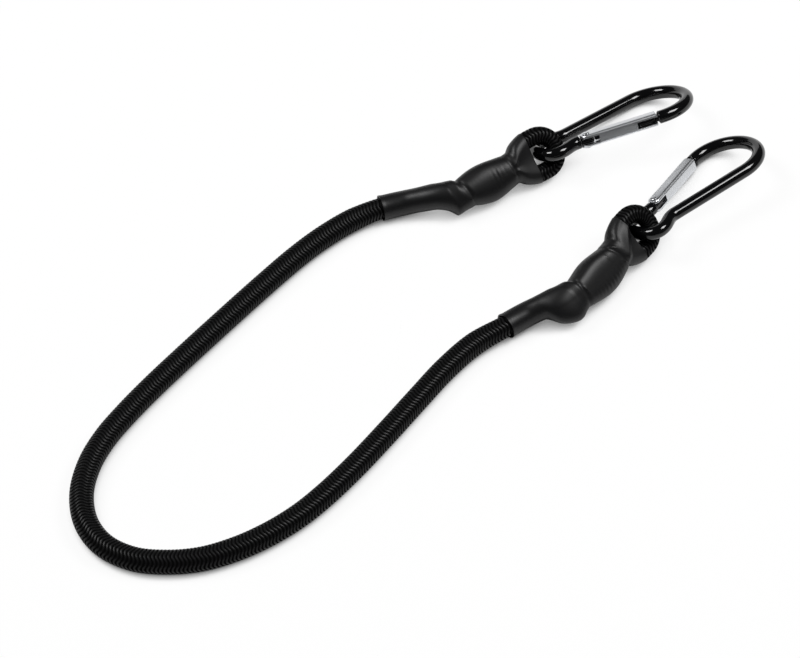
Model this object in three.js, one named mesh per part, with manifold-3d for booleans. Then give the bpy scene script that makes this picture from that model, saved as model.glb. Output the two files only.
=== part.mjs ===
// Elastic cord with a spring-gate carabiner at each end, lying in a loose U on a table.
// Each cord end is doubled back into an eye, bound by two wire clips and covered by a shrunk sleeve.
// Millimetres, +Z up. The table is z = 0 and the origin lies under the middle of the part.

import * as THREE from "three";
import { mergeVertices } from "three/addons/utils/BufferGeometryUtils.js";
import Module from "manifold-3d";

const wasm = await Module();
wasm.setup();

const RAD = Math.PI / 180;
const GAP = 0.3; // play between pieces that touch

// Elastic cord: a latex core in a braided jacket
const CORD_R = 4; // relaxed, on the table
const LIE = 0.05; // its rise over the table
const MOUTH_CORD_R = 3.6; // where the sleeve begins to grip
const JOIN_CORD_R = 3.4; // inside the sleeve, ahead of the eye
const EYE_CORD_R = 3.1; // stretched round the eye when it was bound
const JACKET_WALL = 0.7;
const CORD_SIDES = 10;
const CORD_GROW = 1 / Math.cos(Math.PI / CORD_SIDES); // corner of the section over its flat
const FREE_STEPS = 34;

// Doubled-back end, along its own x axis with the middle of the eye at 0
const EYE_R = 6.3; // centre line of the eye
const EYE_TIP_X = 1.3; // centre of the round tip
const EYE_TIP_STEPS = 10;
const CLIP_X = [-12.5, -31.3]; // near the eye, near the tail
const CLIP_FLAT = 1.1; // half length held to full tightness by a clip
const CLIP_REACH = 2.6; // how far its waist spreads along the cord beyond that
const PAIR_OFFSET = EYE_CORD_R + GAP; // each run from the middle of the pair
const PINCH_OFFSET = 1.95; // the same in a clip
const PINCH_HALF = [1.7, 2.4]; // cord in a clip: across and through the pair
const FLARE = [-10.5, -0.8]; // where the pair opens into the eye
// Stations along both runs from the pair's start to the tip; the last but one is the sleeve's front edge
const RUN_X = [-36.6, -34.5, -32.4, -30.2, -27.6, -24, -20, -16.5, -13.6, -11.4, -9.2, -6.9, -4.6, -2.4, EYE_TIP_X];
const CUT_TAPER = 0.8; // section of the sealed cut end over the cord's own
const LEVEL_X = -32; // from here on the main run lies in the plane of the eye
// The single cord under the sleeve, from the mouth to the pair
const LEAD = [
  [-56.6, 7.3, -9.5],
  [-52.3, 6.4, -8.8],
  [-48, 5.4, -7.6],
  [-44.3, 4.5, -5.4],
  [-40.5, 3.7, -2.9],
  [-36.6, 3.3, -0.8],
];
const JOIN_AT = 2; // station of LEAD where the free stretch ends

// Shrunk sleeve
const SLEEVE_WALL = 0.45;
const SLEEVE_SIDES = 16;
const SLEEVE_PLAY = 0.36; // inside, over the cord
const STUB_RAMP = 4; // length over which the sleeve climbs onto the tail
const STUB_AHEAD = 0.7; // bare end of that climb, ahead of the cut

// Wire clip: a flattened C of steel wire, crimped round both runs
const WIRE_R = 0.45;
const CLIP_SIDE = 1.2; // half its straight side
const CLIP_END_R = 3; // inside of its round ends
const WIRE_SIDES = 6;
const CLIP_STEPS = 20;
const CLIP_MOUTH = 24; // degrees left open between its butted ends

// Carabiner body: one bent rod, with the middle of its small loop at the origin and x to the large bend
const ROD_R = 2.3;
const ROD_SIDES = 10;
const LOOP_HALF = 7.8; // small loop's widest half, centre line
const LOOP_BASE = 4.8; // from there to its flat base
const LOOP_POWER = 2.4; // how square the base is
const BEND_R = 12.6; // large bend, centre line
const BEND_X = 41;
const LIMB_ANGLE = 12.76 * RAD; // each limb from the middle line
const WAIST_X = 9; // where the loop has drawn in to meet the limb
const WAIST_PULL = 11; // how long each end of that curve holds its direction
const RIVET_X = 11.7;
const TONGUE_HALF = 0.9; // half thickness of both tongues
const HINGE_TONGUE_H = 1.95; // half height
const HINGE_TONGUE_END = 2.4; // past the rivet
const NOSE_TONGUE = [-1, 1.8]; // inner and outer edge about the gate's middle line
const NOSE_NOTCH = { from: 23.6, to: 24.8, depth: 0.7 }; // latching notch, from the rivet

// Gate: a slotted bar that turns on the rivet; lengths run from the rivet towards the nose
const GATE_W = 4.4; // in the carabiner's plane
const GATE_T = 4.6; // through it
const GATE_CORNER = 1.4;
const GATE_END = 25.4;
const SLOT_W = 2 * (TONGUE_HALF + GAP);
const HINGE_SLOT_END = 4.2;
const NOSE_SLOT_FROM = 18.2;
const BORE_R = 1.3; // for the spring
const BORE_END = 14.6;

// Hinge rivet, plunger and return spring
const RIVET_R = 0.8;
const RIVET_HEAD_R = 1.3;
const RIVET_HEAD_H = 0.45;
const PLUNGER_R = 0.95;
const PLUNGER_PIN_R = 0.25;
const PLUNGER_HEAD_END = 6.4;
const PLUNGER_PIN_END = 9;
const SPRING_R = 0.8; // centre line
const SPRING_WIRE_R = 0.2;
const SPRING_TURNS = 6;
const SPRING_STEPS = 8; // in a turn
const SPRING_SIDES = 5;
const ROUND_SIDES = 12; // pins and bores

// Layout on the table: roll about the x axis, then its pitch and yaw, in degrees; tail is where the cord was cut
const ENDS = {
  a: { eye: [79.2, 17.9, 9], turn: [44, 2.5, -9], tail: -35.4 },
  b: { eye: [78.8, -30.8, 9], turn: [44, 2.5, 10], tail: -38.2 },
};
const CARABINERS = {
  a: { loop: [85.2, 17.7, 8.6], turn: [149.9, 0.6, -13.9] },
  b: { loop: [84.8, -30.6, 9], turn: [-26.7, -1.2, 5] },
};
// Centre line of the free stretch on the table, from the mouth of sleeve a round to the mouth of sleeve b
const ROUTE = [
  [15, 41.4],
  [2.5, 42.2],
  [-10, 41.6],
  [-27.5, 39.4],
  [-47.5, 36.4],
  [-67.5, 33.2],
  [-83.5, 30.4],
  [-96.5, 27.6],
  [-108.5, 24.2],
  [-119.5, 19],
  [-129, 11.2],
  [-135.2, 1],
  [-136.6, -9.6],
  [-133, -20],
  [-126, -28],
  [-117, -34.5],
  [-106, -38.9],
  [-94.5, -41.4],
  [-82.5, -42.3],
  [-71, -41.6],
  [-55.5, -39.3],
  [-37.5, -35.6],
  [-21.5, -32],
  [-5.5, -28.6],
  [8.5, -27.2],
];

const v3 = (x, y, z = 0) => new THREE.Vector3(x, y, z);
const mix = (a, b, t) => a + (b - a) * t;
const ease = (t) => THREE.MathUtils.smoothstep(t, 0, 1);

// A frame turned by roll, pitch and yaw in degrees and set at a point.
function placed([x, y, z], [roll, pitch, yaw]) {
  const group = new THREE.Group();
  group.rotation.set(roll * RAD, -pitch * RAD, yaw * RAD, "ZYX");
  group.position.set(x, y, z);
  group.updateMatrix();
  return group;
}

// A closed solid through rings of equal count: capped at both ends, or joined into a loop.
function skin(rings, loop = false) {
  const n = rings[0].length;
  const last = loop ? rings.length : rings.length - 1;
  const index = [];
  for (let i = 0; i < last; i++) {
    const a = i * n;
    const b = ((i + 1) % rings.length) * n;
    for (let k = 0; k < n; k++) {
      const m = (k + 1) % n;
      index.push(a + k, a + m, b + m, a + k, b + m, b + k);
    }
  }
  const end = (rings.length - 1) * n;
  for (let k = 1; k < n - 1 && !loop; k++) {
    index.push(0, k + 1, k, end, end + k, end + k + 1);
  }
  const geometry = new THREE.BufferGeometry().setFromPoints(rings.flat());
  geometry.setIndex(index);
  return faceOut(geometry);
}

// The same surface with its faces outward.
function faceOut(geometry) {
  const p = geometry.getAttribute("position");
  const order = geometry.getIndex().array;
  const [a, b, c] = [v3(0, 0), v3(0, 0), v3(0, 0)];
  let volume = 0;
  for (let i = 0; i < order.length; i += 3) {
    a.fromBufferAttribute(p, order[i]);
    b.fromBufferAttribute(p, order[i + 1]);
    c.fromBufferAttribute(p, order[i + 2]);
    volume += a.dot(b.cross(c));
  }
  if (volume < 0) order.reverse();
  return geometry;
}

// Points of a regular section whose flats touch the ellipse with half sizes a and b.
function oval(sides, a, b, power = 2) {
  const grow = power > 2 ? 1 : 1 / Math.cos(Math.PI / sides);
  return Array.from({ length: sides }, (_, k) => {
    const t = (2 * Math.PI * k) / sides;
    const bow = (f) => Math.sign(f) * Math.abs(f) ** (2 / power) * grow;
    return [a * bow(Math.cos(t)), b * bow(Math.sin(t))];
  });
}

// Section drawn tight round two equal circles that lie a distance c either side of the middle.
function stadium(sides, c, r) {
  const grown = r / Math.cos(Math.PI / sides);
  return Array.from({ length: sides }, (_, k) => {
    const t = (2 * Math.PI * (k + 0.5)) / sides;
    return [grown * Math.cos(t) + c * Math.sign(Math.cos(t)), grown * Math.sin(t)];
  });
}

// Ring of points of a flat section at a station with axes across and up.
const ringAt = (s, section) =>
  section.map(([u, v]) => s.p.clone().addScaledVector(s.across, u).addScaledVector(s.up, v));

// Stations along a list of points: each gets its tangent, or the direction held there, and axes square to it.
function stationsAlong(points, ups, held = []) {
  return points.map((p, i) => {
    const before = points[Math.max(i - 1, 0)];
    const after = points[Math.min(i + 1, points.length - 1)];
    const along = held[i] ?? after.clone().sub(before).normalize();
    const across = ups[i].clone().cross(along).normalize();
    return { p, along, across, up: along.clone().cross(across) };
  });
}

const bodies = [];
function solid(geometry) {
  const bare = geometry.clone();
  bare.deleteAttribute("normal");
  bare.deleteAttribute("uv");
  const merged = mergeVertices(bare, 1e-4);
  const made = new wasm.Manifold(
    new wasm.Mesh({
      numProp: 3,
      vertProperties: new Float32Array(merged.getAttribute("position").array),
      triVerts: new Uint32Array(merged.getIndex().array),
    }),
  );
  bodies.push(made);
  return made;
}

function fromSolid(made) {
  const mesh = made.getMesh();
  const geometry = new THREE.BufferGeometry();
  geometry.setAttribute("position", new THREE.BufferAttribute(mesh.vertProperties, 3));
  geometry.setIndex(new THREE.BufferAttribute(mesh.triVerts, 1));
  return geometry;
}

const cut = (geometry, ...tools) =>
  fromSolid(tools.reduce((left, tool) => left.subtract(solid(tool)), solid(geometry)));

// A box between two corners.
function block([x0, y0, z0], [x1, y1, z1]) {
  const box = new THREE.BoxGeometry(x1 - x0, y1 - y0, z1 - z0);
  return box.translate((x0 + x1) / 2, (y0 + y1) / 2, (z0 + z1) / 2);
}

// A round bar along x or z.
function pin(axis, r, from, to, at = [0, 0]) {
  const bar = new THREE.CylinderGeometry(r, r, to - from, ROUND_SIDES);
  const mid = (from + to) / 2;
  if (axis === "x") return bar.rotateZ(-90 * RAD).translate(mid, at[0], at[1]);
  return bar.rotateX(90 * RAD).translate(at[0], at[1], mid);
}

// A turned piece from [radius, height] pairs, its axis laid along x or left along z.
function turned(profile, axis) {
  const points = profile.map(([r, h]) => new THREE.Vector2(r, h));
  const lathe = new THREE.LatheGeometry(points, ROUND_SIDES);
  lathe.deleteAttribute("normal");
  lathe.deleteAttribute("uv");
  const closed = faceOut(mergeVertices(lathe, 1e-4));
  return axis === "x" ? closed.rotateZ(-90 * RAD) : closed.rotateX(90 * RAD);
}

// How tightly a clip holds the pair at x: 1 in the clip, 0 away from it.
function squeeze(x) {
  const away = CLIP_X.map((clip) => Math.max(Math.abs(x - clip) - CLIP_FLAT, 0) / CLIP_REACH);
  return Math.exp(-(Math.min(...away) ** 2));
}

// Distance of each run from the middle of the pair.
function runOffset(x) {
  const pair = mix(PAIR_OFFSET, PINCH_OFFSET, squeeze(x));
  return mix(pair, EYE_R, ease((x - FLARE[0]) / (FLARE[1] - FLARE[0])));
}

// Half sizes of a run's section square to x, wider where the run slants.
function runHalf(x) {
  const [across, through] = PINCH_HALF.map((pinched) => mix(EYE_CORD_R, pinched, squeeze(x)));
  const slant = (runOffset(x + GAP) - runOffset(x - GAP)) / (2 * GAP);
  return [across * Math.hypot(1, slant), through];
}

// How far the main run lies under the plane of the eye.
const [leadX, , leadZ] = LEAD.at(-1);
const runDrop = (x) => leadZ * ease((LEVEL_X - x) / (LEVEL_X - leadX));

// Cord radius at a station of the lead.
function leadR(i) {
  const gripped = mix(MOUTH_CORD_R, JOIN_CORD_R, Math.min(i / JOIN_AT, 1));
  return mix(gripped, EYE_CORD_R, ease((i - JOIN_AT) / (LEAD.length - 1 - JOIN_AT)));
}

// Centre line of one end in its own frame, from the mouth of the sleeve round the eye to the cut tail.
function endLine(tailX) {
  const lead = LEAD.map((at, i) => ({ p: v3(...at), half: [leadR(i), leadR(i)] }));
  lead.at(-1).run = 1;
  const main = RUN_X.slice(1).map((x) => ({
    p: v3(x, runOffset(x), runDrop(x)),
    half: runHalf(x),
    run: 1,
  }));
  const tip = Array.from({ length: EYE_TIP_STEPS - 1 }, (_, i) => {
    const t = 90 * RAD - ((i + 1) / EYE_TIP_STEPS) * Math.PI;
    const p = v3(EYE_TIP_X + EYE_R * Math.cos(t), EYE_R * Math.sin(t));
    return { p, half: runHalf(EYE_TIP_X) };
  });
  const tail = [tailX, ...RUN_X.filter((x) => x > tailX + 1)]
    .reverse()
    .map((x) => ({ p: v3(x, -runOffset(x)), half: runHalf(x), run: -1 }));
  tail.at(-1).half = tail.at(-1).half.map((half) => half * CUT_TAPER);
  return [...lead, ...main, ...tip, ...tail];
}

// The whole cord as stations on the table: tail a, eye a, free stretch, eye b, tail b.
function cordStations() {
  const rows = [];
  const addEnd = ({ eye, turn, tail }, reversed) => {
    const frame = placed(eye, turn);
    const up = v3(0, 0, 1).transformDirection(frame.matrix);
    const line = endLine(tail).map(({ p, half, run }, i) => {
      const level = ease(1 - i / (LEAD.length - 1));
      const rise = up.clone().lerp(v3(0, 0, 1), i < LEAD.length ? level : 0);
      const held = run && v3(reversed ? -run : run, 0).transformDirection(frame.matrix);
      return { p: p.clone().applyMatrix4(frame.matrix), half, up: rise, held };
    });
    return reversed ? line.reverse() : line;
  };
  const endA = addEnd(ENDS.a, true);
  const endB = addEnd(ENDS.b, false);
  const lie = ROUTE.map(([x, y]) => v3(x, y, CORD_R + LIE));
  const guide = [endA.at(-1).p, ...lie, endB[0].p];
  const curve = new THREE.CatmullRomCurve3(guide, false, "centripetal");
  rows.push(...endA);
  for (let i = 1; i < FREE_STEPS; i++) {
    const p = curve.getPointAt(i / FREE_STEPS);
    const r = i === 1 || i === FREE_STEPS - 1 ? mix(CORD_R, MOUTH_CORD_R, 0.3) : CORD_R;
    rows.push({ p, half: [r, r], up: v3(0, 0, 1) });
  }
  rows.push(...endB);
  const frames = stationsAlong(
    rows.map((r) => r.p),
    rows.map((r) => r.up),
    rows.map((r) => r.held),
  );
  const joinA = endA.length - 1 - JOIN_AT;
  const joinB = endA.length + FREE_STEPS - 1 + JOIN_AT;
  return { all: frames.map((f, i) => ({ ...f, half: rows[i].half })), joinA, joinB };
}

// A stretch of the cord with half the play taken off at each join.
function stretch(all, from, to) {
  const part = all.slice(from, to + 1).map((s) => ({ ...s, p: s.p.clone() }));
  if (from > 0) part[0].p.addScaledVector(part[0].along, GAP / 2);
  if (to < all.length - 1) part.at(-1).p.addScaledVector(part.at(-1).along, -GAP / 2);
  return part;
}

const inset = (part, by) =>
  part.map((s) => ringAt(s, oval(CORD_SIDES, s.half[0] - by, s.half[1] - by)));

const jacketOf = (part) => skin([...inset(part, 0), ...inset(part, JACKET_WALL).reverse()], true);
const coreOf = (part) => skin(inset(part, JACKET_WALL + GAP).reverse());

// Sleeve over one end, in the end's frame: outer and inner walls drawn round both runs.
function sleeveGeometry(tailX) {
  const lead = LEAD.map((at) => v3(...at));
  const pair = RUN_X.slice(1, -1).map((x) => v3(x, runOffset(x), runDrop(x)));
  const mains = [...lead, ...pair];
  const frames = stationsAlong(
    mains,
    mains.map(() => v3(0, 0, 1)),
  );
  const overClip = CLIP_END_R + 2 * WIRE_R + GAP;
  const walls = (wall) =>
    mains.map((main, i) => {
      const single = i < lead.length;
      const square = i < lead.length - 1;
      const tail = v3(main.x, -runOffset(Math.max(main.x, tailX)));
      const climb = ease((main.x - tailX + STUB_RAMP + STUB_AHEAD) / STUB_RAMP);
      const tight = climb * squeeze(main.x);
      const half = single ? [leadR(i), leadR(i)] : runHalf(main.x);
      const spread = main.distanceTo(tail) / 2;
      const wide = spread + half[0] * CORD_GROW + SLEEVE_PLAY;
      const thick = half[1] * CORD_GROW + SLEEVE_PLAY;
      const along = square ? frames[i].along : v3(1, 0);
      const towards = main.clone().sub(tail).normalize();
      const up = along.clone().cross(towards).normalize();
      const p = main.clone().addScaledVector(towards, -spread * climb);
      const r = mix(thick, overClip, tight);
      const reach = Math.max(climb * (wide - r), tight * CLIP_SIDE);
      return ringAt({ p, across: up.clone().cross(along), up }, stadium(SLEEVE_SIDES, reach, r + wall));
    });
  return skin([...walls(SLEEVE_WALL), ...walls(0).reverse()], true);
}

// Wire clip round both runs, its butted ends on the tail's side.
function clipGeometry() {
  const r = CLIP_END_R + WIRE_R;
  const points = Array.from({ length: CLIP_STEPS + 1 }, (_, i) => {
    const t = (180 + CLIP_MOUTH / 2 + ((360 - CLIP_MOUTH) * i) / CLIP_STEPS) * RAD;
    return v3(0, r * Math.cos(t) + CLIP_SIDE * Math.sign(Math.cos(t)), r * Math.sin(t));
  });
  const frames = stationsAlong(
    points,
    points.map(() => v3(1, 0)),
  );
  return skin(frames.map((s) => ringAt(s, oval(WIRE_SIDES, WIRE_R, WIRE_R))));
}

// Points on an arc about a centre, ends included.
function arc([cx, cy], r, from, to, steps) {
  return Array.from({ length: steps + 1 }, (_, i) => {
    const t = mix(from, to, i / steps);
    return v3(cx + r * Math.cos(t), cy + r * Math.sin(t));
  });
}

// The gate's middle line: a point at a length from the rivet, raised towards the outside.
const LIMB_REACH = BEND_R / Math.cos(LIMB_ANGLE);
const RIVET = v3(RIVET_X, LIMB_REACH - (BEND_X - RIVET_X) * Math.tan(LIMB_ANGLE));
const gateFrame = placed([RIVET.x, RIVET.y, 0], [0, 0, LIMB_ANGLE / RAD]);
const onGate = (along, out = 0) => v3(along, out).applyMatrix4(gateFrame.matrix);

// Centre line of the rod from the hinge tongue, round the small loop and the large bend, to the nose tongue.
function rodLine() {
  const limbAt = (x) => v3(x, LIMB_REACH - (BEND_X - x) * Math.tan(LIMB_ANGLE));
  const pull = [v3(Math.cos(LIMB_ANGLE), Math.sin(LIMB_ANGLE)), v3(1, 0)].map((d) => d.setLength(WAIST_PULL / 3));
  const waist = new THREE.CubicBezierCurve3(
    limbAt(WAIST_X),
    limbAt(WAIST_X).sub(pull[0]),
    v3(0, LOOP_HALF).add(pull[1]),
    v3(0, LOOP_HALF),
  ).getPoints(5);
  const loop = arc([0, 0], 1, 90 * RAD, 270 * RAD, 14).map(({ x, y }) => {
    const bow = (f) => Math.sign(f) * Math.abs(f) ** (2 / LOOP_POWER);
    return v3(LOOP_BASE * bow(x), LOOP_HALF * bow(y));
  });
  const mirror = waist.map((p) => v3(p.x, -p.y)).reverse();
  const far = 90 * RAD + LIMB_ANGLE;
  const bend = arc([BEND_X, 0], BEND_R, -far, far, 18);
  const shoulder = GATE_END + GAP;
  const hinge = [HINGE_TONGUE_END, 1.7, 0, -1.6, -2.4].map((a) => ({
    p: onGate(a),
    tongue: 1,
    tip: a > 2 ? 0.72 : 1,
  }));
  const noseAt = [shoulder + 0.9, shoulder, 22, NOSE_SLOT_FROM + 1.2, NOSE_SLOT_FROM + 0.5];
  const nose = noseAt.map((a) => ({
    p: onGate(a),
    nose: a > shoulder ? 0 : 1,
    tip: a < NOSE_SLOT_FROM + 1 ? 0.6 : 1,
  }));
  return [...hinge, ...[...waist, ...loop.slice(1, -1), ...mirror, ...bend].map((p) => ({ p })), ...nose];
}

function carabinerBody() {
  const rows = rodLine();
  const points = rows.map((r) => r.p);
  const frames = stationsAlong(
    points,
    points.map(() => v3(0, 0, 1)),
  );
  const out = v3(0, 1).transformDirection(gateFrame.matrix);
  const rings = frames.map((s, i) => {
    const { tongue = 0, nose = 0, tip = 1 } = rows[i];
    if (!tongue && !nose) return ringAt(s, oval(ROD_SIDES, ROD_R, ROD_R));
    const tall = nose ? (NOSE_TONGUE[1] - NOSE_TONGUE[0]) / 2 : HINGE_TONGUE_H;
    const shift = nose ? (NOSE_TONGUE[1] + NOSE_TONGUE[0]) / 2 : 0;
    const moved = { ...s, p: s.p.clone().addScaledVector(out, shift) };
    return ringAt(moved, oval(ROD_SIDES, tall * tip, TONGUE_HALF, 5));
  });
  const notch = block(
    [NOSE_NOTCH.from, NOSE_TONGUE[1] - NOSE_NOTCH.depth, -ROD_R],
    [NOSE_NOTCH.to, ROD_R + GAP, ROD_R],
  ).applyMatrix4(gateFrame.matrix);
  const hole = pin("z", RIVET_R + GAP, -ROD_R, ROD_R, [RIVET.x, RIVET.y]);
  return cut(skin(rings), hole, notch);
}

// Gate in its own frame: x from the rivet to the nose, y to the outside.
function gateGeometry() {
  const [w, t, c] = [GATE_W / 2, GATE_T / 2, GATE_CORNER];
  const shape = new THREE.Shape();
  shape.moveTo(-t + c, -w);
  shape.lineTo(t - c, -w).absarc(t - c, -w + c, c, -90 * RAD, 0);
  shape.lineTo(t, w - c).absarc(t - c, w - c, c, 0, 90 * RAD);
  shape.lineTo(-t + c, w).absarc(-t + c, w - c, c, 90 * RAD, 180 * RAD);
  shape.lineTo(-t, -w + c).absarc(-t + c, -w + c, c, 180 * RAD, 270 * RAD);
  const bar = new THREE.ExtrudeGeometry(shape, {
    depth: GATE_END + w,
    bevelEnabled: false,
    curveSegments: 3,
  });
  bar.rotateY(90 * RAD).translate(-w, 0, 0);
  const half = SLOT_W / 2;
  const outer = w + GAP;
  const corner = arc([0, 0], w, 90 * RAD, 270 * RAD, 8).map((p) => new THREE.Vector2(p.x, p.y));
  const lug = new THREE.Shape([new THREE.Vector2(0, w), ...corner.slice(1, -1), new THREE.Vector2(0, -w)]);
  const rounding = new THREE.ExtrudeGeometry(lug, { depth: 2 * GATE_T, bevelEnabled: false });
  const round = solid(rounding.translate(0, 0, -GATE_T));
  const keep = round.add(solid(block([-GAP, -outer, -GATE_T], [GATE_END + GAP, outer, GATE_T])));
  const trimmed = solid(bar).intersect(keep);
  const tools = [
    block([-outer, -outer, -half], [HINGE_SLOT_END, outer, half]),
    block([NOSE_SLOT_FROM, NOSE_TONGUE[0] - GAP, -half], [GATE_END + GAP, outer, half]),
    pin("x", BORE_R, HINGE_SLOT_END - GAP, BORE_END),
    pin("z", RIVET_R + GAP, -GATE_T, GATE_T),
  ];
  return fromSolid(tools.reduce((left, tool) => left.subtract(solid(tool)), trimmed));
}

function rivetGeometry() {
  const seat = GATE_T / 2 + GAP / 2;
  return turned(
    [
      [0, -seat - RIVET_HEAD_H],
      [RIVET_HEAD_R * 0.7, -seat - RIVET_HEAD_H],
      [RIVET_HEAD_R, -seat],
      [RIVET_R, -seat],
      [RIVET_R, seat],
      [RIVET_HEAD_R, seat],
      [RIVET_HEAD_R * 0.7, seat + RIVET_HEAD_H],
      [0, seat + RIVET_HEAD_H],
    ],
    "z",
  );
}

function plungerGeometry() {
  const face = HINGE_TONGUE_END + GAP;
  return turned(
    [
      [0, face],
      [PLUNGER_R * 0.6, face],
      [PLUNGER_R, face + 0.4],
      [PLUNGER_R, PLUNGER_HEAD_END],
      [PLUNGER_PIN_R, PLUNGER_HEAD_END],
      [PLUNGER_PIN_R, PLUNGER_PIN_END],
      [0, PLUNGER_PIN_END],
    ],
    "x",
  );
}

function springGeometry() {
  const from = PLUNGER_HEAD_END + GAP + 2 * SPRING_WIRE_R;
  const to = BORE_END - GAP - 2 * SPRING_WIRE_R;
  const count = SPRING_TURNS * SPRING_STEPS;
  const points = Array.from({ length: count + 1 }, (_, i) => {
    const t = (2 * Math.PI * i) / SPRING_STEPS;
    return v3(mix(from, to, i / count), SPRING_R * Math.cos(t), SPRING_R * Math.sin(t));
  });
  const frames = stationsAlong(
    points,
    points.map(() => v3(1, 0)),
  );
  return skin(frames.map((s) => ringAt(s, oval(SPRING_SIDES, SPRING_WIRE_R, SPRING_WIRE_R))));
}

const finish = (color, roughness, metalness) =>
  new THREE.MeshStandardMaterial({ color, roughness, metalness });
const braid = finish(0x17171a, 0.8, 0);
const latex = finish(0xc9b48a, 0.7, 0);
const shrink = finish(0x1d1d20, 0.5, 0);
const wire = finish(0x9a9c9f, 0.35, 1);
const blackRod = finish(0x0e0e10, 0.25, 0.4);
const bright = finish(0xd5d8dc, 0.25, 1);
const springSteel = finish(0x8f9397, 0.3, 1);
const pinSteel = finish(0x3a3c40, 0.4, 1);

function piece(name, geometry, material, parent) {
  const mesh = new THREE.Mesh(geometry, material);
  mesh.name = name;
  parent.add(mesh);
  return mesh;
}

const part = new THREE.Group();
part.name = "bungee_cord";

const { all, joinA, joinB } = cordStations();
const stretches = {
  eye_a: stretch(all, 0, joinA),
  cord: stretch(all, joinA, joinB),
  eye_b: stretch(all, joinB, all.length - 1),
};
for (const [name, stations] of Object.entries(stretches)) {
  piece(`${name}_jacket`, jacketOf(stations), braid, part);
  piece(`${name}_core`, coreOf(stations), latex, part);
}

for (const [side, { eye, turn, tail }] of Object.entries(ENDS)) {
  const frame = placed(eye, turn);
  part.add(frame);
  piece(`sleeve_${side}`, sleeveGeometry(tail), shrink, frame);
  CLIP_X.forEach((x, i) => {
    const clip = piece(`wire_clip_${side}${i + 1}`, clipGeometry(), wire, frame);
    clip.position.x = x;
  });
}

for (const [side, { loop, turn }] of Object.entries(CARABINERS)) {
  const frame = placed(loop, turn);
  part.add(frame);
  piece(`carabiner_${side}_body`, carabinerBody(), blackRod, frame);
  const gate = placed([RIVET.x, RIVET.y, 0], [0, 0, LIMB_ANGLE / RAD]);
  frame.add(gate);
  piece(`carabiner_${side}_gate`, gateGeometry(), bright, gate);
  piece(`carabiner_${side}_rivet`, rivetGeometry(), bright, gate);
  piece(`carabiner_${side}_plunger`, plungerGeometry(), pinSteel, gate);
  piece(`carabiner_${side}_spring`, springGeometry(), springSteel, gate);
}
bodies.forEach((body) => body.delete());

export default part;
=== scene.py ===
"""Braided bungee cord with a spring-gate carabiner at each end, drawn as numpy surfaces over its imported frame."""

import bpy
import numpy as np
from bpy.props import FloatProperty, FloatVectorProperty, IntProperty, PointerProperty
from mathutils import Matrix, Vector


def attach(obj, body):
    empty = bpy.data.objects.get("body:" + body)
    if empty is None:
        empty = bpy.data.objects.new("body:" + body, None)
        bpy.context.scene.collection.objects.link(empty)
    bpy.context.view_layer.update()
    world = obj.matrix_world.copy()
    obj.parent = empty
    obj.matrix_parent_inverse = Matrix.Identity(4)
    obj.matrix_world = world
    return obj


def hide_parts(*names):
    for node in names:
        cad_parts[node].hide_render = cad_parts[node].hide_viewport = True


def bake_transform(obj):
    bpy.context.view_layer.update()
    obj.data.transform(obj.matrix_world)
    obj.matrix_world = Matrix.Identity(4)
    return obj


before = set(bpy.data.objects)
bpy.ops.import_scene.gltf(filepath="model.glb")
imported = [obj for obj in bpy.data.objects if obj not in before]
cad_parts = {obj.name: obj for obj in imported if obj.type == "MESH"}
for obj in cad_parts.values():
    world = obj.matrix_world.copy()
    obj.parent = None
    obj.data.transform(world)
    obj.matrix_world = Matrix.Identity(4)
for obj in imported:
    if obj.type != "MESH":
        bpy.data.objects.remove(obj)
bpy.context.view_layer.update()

bl_info = {
    "name": "Bungee Cord",
    "version": (1, 0, 0),
    "blender": (4, 5, 0),
    "location": "3D View > Sidebar > Bungee Cord",
    "description": "Draws a braided bungee cord with two spring-gate carabiners over its packed frame",
    "category": "Add Mesh",
}

MM = 0.001

# Places of the ends and carabiners, in mm and degrees of roll, pitch and yaw
ENDS = {
    "a": {"eye": (79.2, 17.9, 9), "turn": (44, 2.5, -9), "tail": -35.4, "body": "cord"},
    "b": {"eye": (78.8, -30.8, 9), "turn": (44, 2.5, 10), "tail": -38.2, "body": "end_b"},
}
CARABINERS = {
    "a": {"loop": (85.2, 17.7, 8.6), "turn": (149.9, 0.6, -13.9)},
    "b": {"loop": (84.8, -30.6, 9), "turn": (-26.7, -1.2, 5)},
}
# Centre line of the free stretch on the table, from sleeve a round to sleeve b
ROUTE = np.array(
    [
        (15, 41.4), (2.5, 42.2), (-10, 41.6), (-27.5, 39.4), (-47.5, 36.4), (-67.5, 33.2), (-83.5, 30.4),
        (-96.5, 27.6), (-108.5, 24.2), (-119.5, 19), (-129, 11.2), (-135.2, 1), (-136.6, -9.6), (-133, -20),
        (-126, -28), (-117, -34.5), (-106, -38.9), (-94.5, -41.4), (-82.5, -42.3), (-71, -41.6), (-55.5, -39.3),
        (-37.5, -35.6), (-21.5, -32), (-5.5, -28.6), (8.5, -27.2),
    ]
)  # fmt: skip
# The single cord under a sleeve, from the sleeve's mouth to where the doubled pair begins
LEAD = np.array(
    [
        (-56.6, 7.3, -9.5), (-52.3, 6.4, -8.8), (-48, 5.4, -7.6),
        (-44.3, 4.5, -5.4), (-40.5, 3.5, -3.1), (-36.6, 2.6, -1.2),
    ]
)  # fmt: skip
LEAD_R = np.array([3.6, 3.5, 3.4, 3.3, 3.0, 2.6])
LEAD_SLOPE = -0.24  # how the film runs straight on from the lead to the last clip
JOIN_AT = 2  # point of the lead where the free stretch ends
LIE = 0.05  # rise of the free stretch over the table
EYE_R = 6.3  # centre line of the eye
EYE_TIP_X = 1.3  # centre of its round tip
CLIP_X = (-12.5, -31.3)  # wire clips under the sleeve
CLIP_FLAT = 1.1  # half length a clip holds fully tight
CLIP_REACH = 2.6  # how far its waist spreads beyond that
PAIR_OFFSET = 3.4  # each run from the middle of the pair
PINCH_OFFSET = 1.95  # the same in a clip
PINCH_HALF = (1.7, 2.4)  # cord in a clip: across and through the pair
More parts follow.
